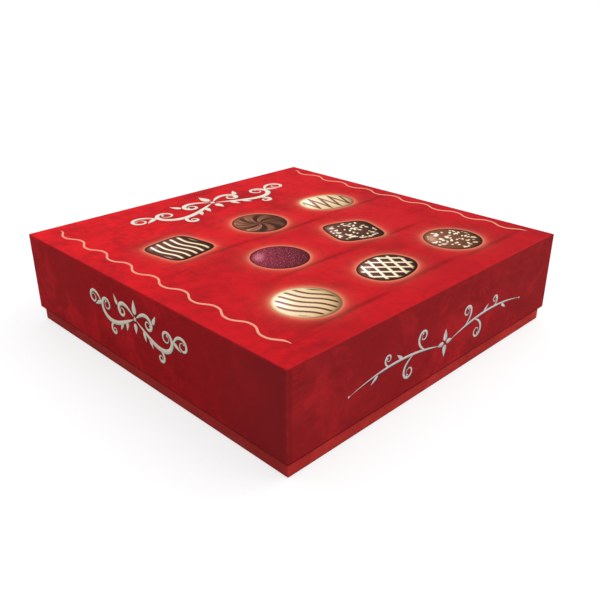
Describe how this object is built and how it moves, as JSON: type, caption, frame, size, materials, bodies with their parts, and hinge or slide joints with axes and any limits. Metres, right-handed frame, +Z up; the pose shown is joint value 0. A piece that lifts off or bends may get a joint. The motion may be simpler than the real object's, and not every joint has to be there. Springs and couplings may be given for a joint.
{
  "type": "chocolate box",
  "caption": "Square paper-covered gift box with a lift-off lid over a slightly narrower base, and a formed tray of domed truffles under a cushion pad",
  "frame": {"origin": "the middle of the underside, where the bottom sheet lies on the surface", "axes": "+Z up, +X to the right along the front side, +Y to the back"},
  "size_m": [0.2, 0.2, 0.0508],
  "materials": {
    "printed_paper": "satin",
    "red_paper": "matt",
    "white_paper": "matt",
    "kraft_tape": "matt",
    "greyboard": "matt",
    "brown_plastic": "gloss",
    "dark_chocolate": "satin",
    "milk_chocolate": "satin",
    "pad_paper": "satin"
  },
  "bodies": {
    "base": {"base_board": "greyboard", "base_wrap": "printed_paper", "base_liner": "white_paper", "base_corner_stays": "kraft_tape", "base_bottom_sheet": "red_paper"},
    "tray": {"tray": "brown_plastic"},
    "pad": {"cushion_pad": "pad_paper"},
    "lid": {"lid_board": "greyboard", "lid_wrap": "printed_paper", "lid_liner": "white_paper", "lid_corner_stays": "kraft_tape"},
    "truffle_01": {"truffle_01": "dark_chocolate"},
    "truffle_02": {"truffle_02": "milk_chocolate"},
    "truffle_03": {"truffle_03": "dark_chocolate"},
    "truffle_04": {"truffle_04": "milk_chocolate"},
    "truffle_05": {"truffle_05": "dark_chocolate"},
    "truffle_06": {"truffle_06": "milk_chocolate"},
    "truffle_07": {"truffle_07": "dark_chocolate"},
    "truffle_08": {"truffle_08": "milk_chocolate"},
    "truffle_09": {"truffle_09": "dark_chocolate"},
    "truffle_10": {"truffle_10": "milk_chocolate"},
    "truffle_11": {"truffle_11": "dark_chocolate"},
    "truffle_12": {"truffle_12": "milk_chocolate"},
    "truffle_13": {"truffle_13": "dark_chocolate"},
    "truffle_14": {"truffle_14": "milk_chocolate"},
    "truffle_15": {"truffle_15": "dark_chocolate"},
    "truffle_16": {"truffle_16": "milk_chocolate"}
  },
  "joints": [
    {"name": "tray_lift", "type": "slide", "parent": "base", "child": "tray", "axis": [0, 0, 1], "range_m": [0, 0.05]},
    {"name": "truffle_lift", "type": "slide", "parent": "tray", "child": "truffle_01", "axis": [0, 0, 1], "range_m": [0, 0.025]},
    {"name": "truffle_02_lift", "type": "slide", "parent": "tray", "child": "truffle_02", "axis": [0, 0, 1], "range_m": [0, 0.025]},
    {"name": "truffle_03_lift", "type": "slide", "parent": "tray", "child": "truffle_03", "axis": [0, 0, 1], "range_m": [0, 0.025]},
    {"name": "truffle_04_lift", "type": "slide", "parent": "tray", "child": "truffle_04", "axis": [0, 0, 1], "range_m": [0, 0.025]},
    {"name": "truffle_05_lift", "type": "slide", "parent": "tray", "child": "truffle_05", "axis": [0, 0, 1], "range_m": [0, 0.025]},
    {"name": "truffle_06_lift", "type": "slide", "parent": "tray", "child": "truffle_06", "axis": [0, 0, 1], "range_m": [0, 0.025]},
    {"name": "truffle_07_lift", "type": "slide", "parent": "tray", "child": "truffle_07", "axis": [0, 0, 1], "range_m": [0, 0.025]},
    {"name": "truffle_08_lift", "type": "slide", "parent": "tray", "child": "truffle_08", "axis": [0, 0, 1], "range_m": [0, 0.025]},
    {"name": "truffle_09_lift", "type": "slide", "parent": "tray", "child": "truffle_09", "axis": [0, 0, 1], "range_m": [0, 0.025]},
    {"name": "truffle_10_lift", "type": "slide", "parent": "tray", "child": "truffle_10", "axis": [0, 0, 1], "range_m": [0, 0.025]},
    {"name": "truffle_11_lift", "type": "slide", "parent": "tray", "child": "truffle_11", "axis": [0, 0, 1], "range_m": [0, 0.025]},
    {"name": "truffle_12_lift", "type": "slide", "parent": "tray", "child": "truffle_12", "axis": [0, 0, 1], "range_m": [0, 0.025]},
    {"name": "truffle_13_lift", "type": "slide", "parent": "tray", "child": "truffle_13", "axis": [0, 0, 1], "range_m": [0, 0.025]},
    {"name": "truffle_14_lift", "type": "slide", "parent": "tray", "child": "truffle_14", "axis": [0, 0, 1], "range_m": [0, 0.025]},
    {"name": "truffle_15_lift", "type": "slide", "parent": "tray", "child": "truffle_15", "axis": [0, 0, 1], "range_m": [0, 0.025]},
    {"name": "truffle_16_lift", "type": "slide", "parent": "tray", "child": "truffle_16", "axis": [0, 0, 1], "range_m": [0, 0.025]},
    {"name": "pad_lift", "type": "slide", "parent": "truffle_01", "child": "pad", "axis": [0, 0, 1], "range_m": [0, 0.025]},
    {"name": "lid_lift", "type": "slide", "parent": "pad", "child": "lid", "axis": [0, 0, 1], "range_m": [0, 0.08]}
  ],
  "couplings": [
    {"joint": "truffle_02_lift", "follows": "truffle_lift", "ratio": 1},
    {"joint": "truffle_03_lift", "follows": "truffle_lift", "ratio": 1},
    {"joint": "truffle_04_lift", "follows": "truffle_lift", "ratio": 1},
    {"joint": "truffle_05_lift", "follows": "truffle_lift", "ratio": 1},
    {"joint": "truffle_06_lift", "follows": "truffle_lift", "ratio": 1},
    {"joint": "truffle_07_lift", "follows": "truffle_lift", "ratio": 1},
    {"joint": "truffle_08_lift", "follows": "truffle_lift", "ratio": 1},
    {"joint": "truffle_09_lift", "follows": "truffle_lift", "ratio": 1},
    {"joint": "truffle_10_lift", "follows": "truffle_lift", "ratio": 1},
    {"joint": "truffle_11_lift", "follows": "truffle_lift", "ratio": 1},
    {"joint": "truffle_12_lift", "follows": "truffle_lift", "ratio": 1},
    {"joint": "truffle_13_lift", "follows": "truffle_lift", "ratio": 1},
    {"joint": "truffle_14_lift", "follows": "truffle_lift", "ratio": 1},
    {"joint": "truffle_15_lift", "follows": "truffle_lift", "ratio": 1},
    {"joint": "truffle_16_lift", "follows": "truffle_lift", "ratio": 1}
  ]
}
